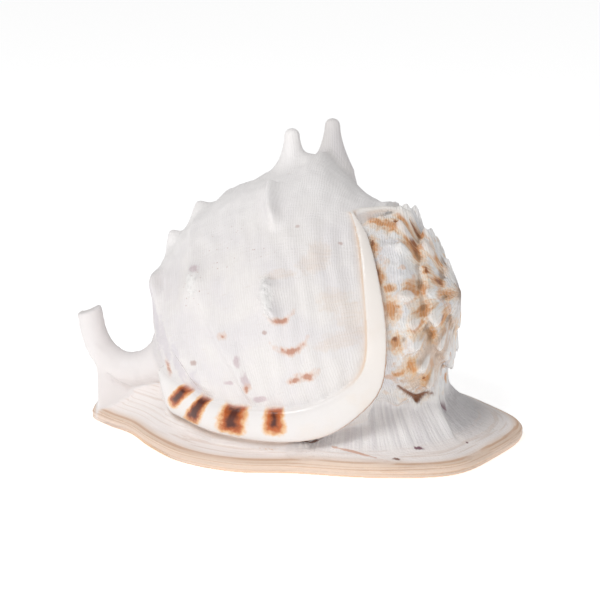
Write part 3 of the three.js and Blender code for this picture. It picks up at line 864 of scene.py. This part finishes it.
# The varix is glossy porcelain, cream beside the spire, and stained along both edges. In front it has four
# brown bars, each with its middle and half width along the band, its end across the band and how pale it is.
VARIX_WHITE, VARIX_CREAM, VARIX_CLOUD = (237, 233, 231), (243, 236, 230), (238, 224, 210)
INNER_STAIN, OUTER_STAIN, CORNER_STAIN = (214, 172, 126), (186, 134, 88), (172, 112, 64)
BAR_FRINGE, BAR_BROWN, BAR_DARK = (240, 184, 112), (190, 96, 40), (84, 34, 18)
BARS = [(20.5, 3.4, 0.4, 0.06), (36, 4.8, 0.8, -0.06), (57.3, 6.6, 0.66, 0.08), (78.3, 4.7, 0.36, 0.2)]
china = paint(fade(tree, band_along, 95.0, 150.0), VARIX_WHITE, VARIX_CREAM)
china = paint(fade(tree, cloud, 0.5, 0.7), china, VARIX_CLOUD, 0.35)
upright = fade(tree, band_along, 110.0, 140.0)
china = paint(both(fade(tree, band_over, -0.85, -1.02), upright), china, INNER_STAIN, 0.7)
more_upright = sums(tree, "MULTIPLY_ADD", upright, 0.4, 0.5)
china = paint(both(fade(tree, band_over, 0.8, 1.0), more_upright), china, OUTER_STAIN, 0.8)
corner = both(fade(tree, band_along, 102.0, 110.0), fade(tree, band_along, 152.0, 138.0))
china = paint(both(fade(tree, band_over, 0.82, 0.98), corner), china, CORNER_STAIN, 0.9)
bars = [use(tree, bar, band_place, *spec) for spec in BARS]
china = paint(most(one["Fringe"] for one in bars), china, BAR_FRINGE, 0.8)
china = paint(most(one["Brown"] for one in bars), china, BAR_BROWN)
china = paint(most(one["Dark"] for one in bars), china, BAR_DARK)
colour = paint(on_varix, colour, china)

# The shield is pinkish white on top, with fibres down the skirt and peach layers at the edge. Below it is
# glossy peach. Its marks lie in plan: on a coil of PLAN_RADIUS a degree of turn is a millimetre.
CALLUS_SHADE, CALLUS_WHITE, PLATE_PINK = (232, 228, 229), (251, 248, 247), (250, 243, 240)
SKIRT_PAINTED_SHADE, CORNER_BROWN, LAYER_TAN = (194, 190, 192), (172, 116, 72), (222, 204, 192)
EDGE_PEACH, EDGE_TAN, UNDER_PEACH = (235, 211, 192), (206, 162, 126), (226, 190, 158)
GAP_SHADOW_AND_CRACK_BROWN, LINE_BROWN, CRUST_PURPLE = (120, 66, 38), (200, 130, 84), (110, 52, 74)
PLAN_RADIUS = 57.3
LINE_SLOPE = 0.34
GAP_SHADOW_AND_CRACKS = [(5, -68.5, 9, 0.8), (46.5, -79.4, 2, 1.2)]
SLANTED_LINE = [(28, -67, 9, 0.5)]
CRUSTS = [(58, -70.3, 3, 1.4), (71.5, -36, 1.6, 3), (81.7, -54.8, 1.0, 1.0)]
fibres = noise(tree, node(tree, "ShaderNodeCombineXYZ", fan, height, 0.0), (0.75, 0.03, 0), 3.0)
callus = paint(fade(tree, fibres, 0.35, 0.65), CALLUS_SHADE, CALLUS_WHITE)
flat = most([fade(tree, height, 13.0, 8.0), fade(tree, fan, -115.0, -130.0)])
callus = paint(flat, callus, PLATE_PINK)
# Painted shade: the skirt's right panel, recessed behind the crease and turned from the lamp, is painted
# grey.
shady = both(fade(tree, fan, -42.0, -34.0), fade(tree, height, 6.0, 12.0))
callus = paint(shady, callus, SKIRT_PAINTED_SHADE, 0.6)
callus = paint(both(fade(tree, band_over, 1.7, 1.1), corner), callus, CORNER_BROWN, 0.7)
layers_at = node(tree, "ShaderNodeCombineXYZ", both(rim, 0.35), height, 0.0)
strata = noise(tree, layers_at, (0.9, 0.9, 0), 2.0)
callus = paint(both(flat, fade(tree, strata, 0.5, 0.66)), callus, LAYER_TAN, 0.5)
rim_near = both(fade(tree, rim, 7.0, 1.5), fade(tree, height, 10.0, 6.0))
callus = paint(rim_near, callus, EDGE_PEACH)
callus = paint(both(rim_near, fade(tree, strata, 0.5, 0.62)), callus, EDGE_TAN, 0.7)
below = fade(tree, facing, -0.15, -0.5)
callus = paint(below, callus, UNDER_PEACH)
plan = node(tree, "ShaderNodeCombineXYZ", plan_x, plan_y, PLAN_RADIUS)
# Painted shadow: the first of these dark brown lines lies in the gap under the outer edge of the varix.
callus = paint(cores(marks(plan, GAP_SHADOW_AND_CRACKS)), callus, GAP_SHADOW_AND_CRACK_BROWN, 0.9)
aslant = sums(tree, "MULTIPLY_ADD", plan_x, LINE_SLOPE, plan_y)
aslant = node(tree, "ShaderNodeCombineXYZ", plan_x, aslant, PLAN_RADIUS)
callus = paint(halos(marks(aslant, SLANTED_LINE)), callus, LINE_BROWN, 0.65)
callus = paint(cores(marks(plan, CRUSTS)), callus, CRUST_PURPLE, 0.9)
colour = paint(on_shield, colour, callus)

# The canal is plain white outside. The aperture is peach at the mouth and orange-brown deep inside, paler
# towards the canal. Where the edge of the skirt is broken away, the hole is painted dark brown as painted
# shade.
CANAL_WHITE, CHIP_PAINTED_SHADE = (238, 233, 232), (136, 88, 58)
MOUTH_PEACH, THROAT_PALE = (226, 190, 158), (238, 206, 176)
THROAT_BROWN, THROAT_CANAL = (186, 112, 70), (222, 196, 178)
colour = paint(on_canal, colour, CANAL_WHITE)
throat = paint(fade(tree, height, 5.0, 16.0), THROAT_PALE, THROAT_BROWN)
throat = paint(fade(tree, height, 3.0, 5.0), MOUTH_PEACH, throat)
throat = paint(fade(tree, plan_x, -78.0, -88.0), throat, THROAT_CANAL)
colour = paint(inside, colour, throat)
# Painted shade: the hole where the skirt's edge is broken away.
colour = paint(chip_shade, colour, CHIP_PAINTED_SHADE)
tree.links.new(colour, shader.inputs["Base Color"])

# The varix, the underside and the throat are polished by the animal, and the rest is matt. The finest relief
# is bump, in millimetres: threads, growth lines, fibres, layers, grain and the pits between the beads.
MATT_ROUGHNESS = 0.52
POLISH = -0.27
MILLIMETRE = 0.001
polished = most([on_varix, below, both(inside, 0.8)])
tree.links.new(sums(tree, "MULTIPLY_ADD", polished, POLISH, MATT_ROUGHNESS), shader.inputs["Roughness"])
unpolished = sums(tree, "SUBTRACT", 1.0, most([on_varix, on_shield, on_canal, inside]))
fine = both(thread_lines, sums(tree, "MULTIPLY_ADD", on_spire, 0.12, 0.07))
fine = both(sums(tree, "MULTIPLY_ADD", growth, 0.2, fine), unpolished)
layered = sums(tree, "ADD", fibres, both(flat, sums(tree, "SUBTRACT", strata, fibres)))
fine = sums(tree, "ADD", fine, both(both(layered, on_shield), 0.6))
coarse = both(noise(tree, where, (0.22, 0.22, 0.22), 4.0), both(shady, on_shield))
fine = sums(tree, "MULTIPLY_ADD", coarse, 2.0, fine)
grainy = sums(tree, "MULTIPLY_ADD", most([on_spire, on_shield]), 0.25, 0.1)
fine = sums(tree, "ADD", fine, both(noise(tree, where, (0.9, 0.9, 0.9), 3.0), grainy))
fine = sums(tree, "MULTIPLY_ADD", both(cells, beaded), -0.9, fine)
relief = node(tree, "ShaderNodeBump", 1.0, MILLIMETRE, None, fine)
tree.links.new(relief, shader.inputs["Normal"])

# The floor is a plain pale sheet just below the shell, bright enough to meet the white behind. It is seen
# from above only, so that views from below show the underside.
FLOOR_HALF = 4
FLOOR_DROP = 0.0003
FLOOR_GREY = 0.9
FLOOR_GLOW = 0.6
FLOOR_ROUGHNESS = 0.9
floor_corners = [(-1, -1), (1, -1), (1, 1), (-1, 1)]
floor_mesh = bpy.data.meshes.new("floor")
floor_points = [(x * FLOOR_HALF, y * FLOOR_HALF, -FLOOR_DROP) for x, y in floor_corners]
floor_mesh.from_pydata(floor_points, [], [(0, 1, 2, 3)])
floor = bpy.data.objects.new("floor", floor_mesh)
bpy.context.scene.collection.objects.link(floor)
floor_material = bpy.data.materials.new("floor")
floor_material.use_nodes = True
floor_tree = floor_material.node_tree
sheet = floor_tree.nodes["Principled BSDF"]
sheet.inputs["Base Color"].default_value = (FLOOR_GREY, FLOOR_GREY, FLOOR_GREY, 1)
sheet.inputs["Emission Color"].default_value = (1, 1, 1, 1)
sheet.inputs["Emission Strength"].default_value = FLOOR_GLOW
sheet.inputs["Roughness"].default_value = FLOOR_ROUGHNESS
from_below = floor_tree.nodes.new("ShaderNodeNewGeometry").outputs["Backfacing"]
clear = floor_tree.nodes.new("ShaderNodeBsdfTransparent").outputs[0]
one_sided = node(floor_tree, "ShaderNodeMixShader", from_below, sheet.outputs[0], clear)
floor_tree.links.new(one_sided, floor_tree.nodes["Material Output"].inputs["Surface"])
floor_mesh.materials.append(floor_material)

# The light is a white studio with one soft lamp at the front left and a weak one at the right. The camera
# stands a metre away with a long lens, a little above the shell, as the photograph was taken.
STUDIO_STRENGTH = 0.39
LAMP_AIM = np.array([0, 0, 0.06])
LENS = 120
SENSOR = 36
CAMERA_ELEVATION = math.radians(13.5)
CAMERA_TARGET = (0.0014, -0.0022, 0.066)
world = bpy.data.worlds.new("studio")
world.use_nodes = True
studio = world.node_tree.nodes["Background"]
studio.inputs["Color"].default_value = (1, 1, 1, 1)
studio.inputs["Strength"].default_value = STUDIO_STRENGTH
bpy.context.scene.world = world


def lamp(name, stand, size, power):
    light = bpy.data.lights.new(name, "AREA")
    light.size = size
    light.energy = power
    holder = bpy.data.objects.new(name, light)
    holder.location = stand
    holder.rotation_mode = "QUATERNION"
    holder.rotation_quaternion = Vector(LAMP_AIM - np.array(stand)).to_track_quat("-Z", "Y")
    bpy.context.scene.collection.objects.link(holder)


lamp("key", (-0.6, -0.9, 1.2), 0.45, 10.2)
lamp("fill", (0.8, -0.9, 0.4), 1.0, 0.5)

camera_data = bpy.data.cameras.new("camera")
camera_data.lens = LENS
camera_data.sensor_width = SENSOR
camera = bpy.data.objects.new("camera", camera_data)
bpy.context.scene.collection.objects.link(camera)
back, above = math.cos(CAMERA_ELEVATION), math.sin(CAMERA_ELEVATION)
camera.location = (CAMERA_TARGET[0], CAMERA_TARGET[1] - back, CAMERA_TARGET[2] + above)
camera.rotation_euler = (math.pi / 2 - CAMERA_ELEVATION, 0, 0)
bpy.context.scene.camera = camera
bpy.context.scene.view_settings.view_transform = "Standard"
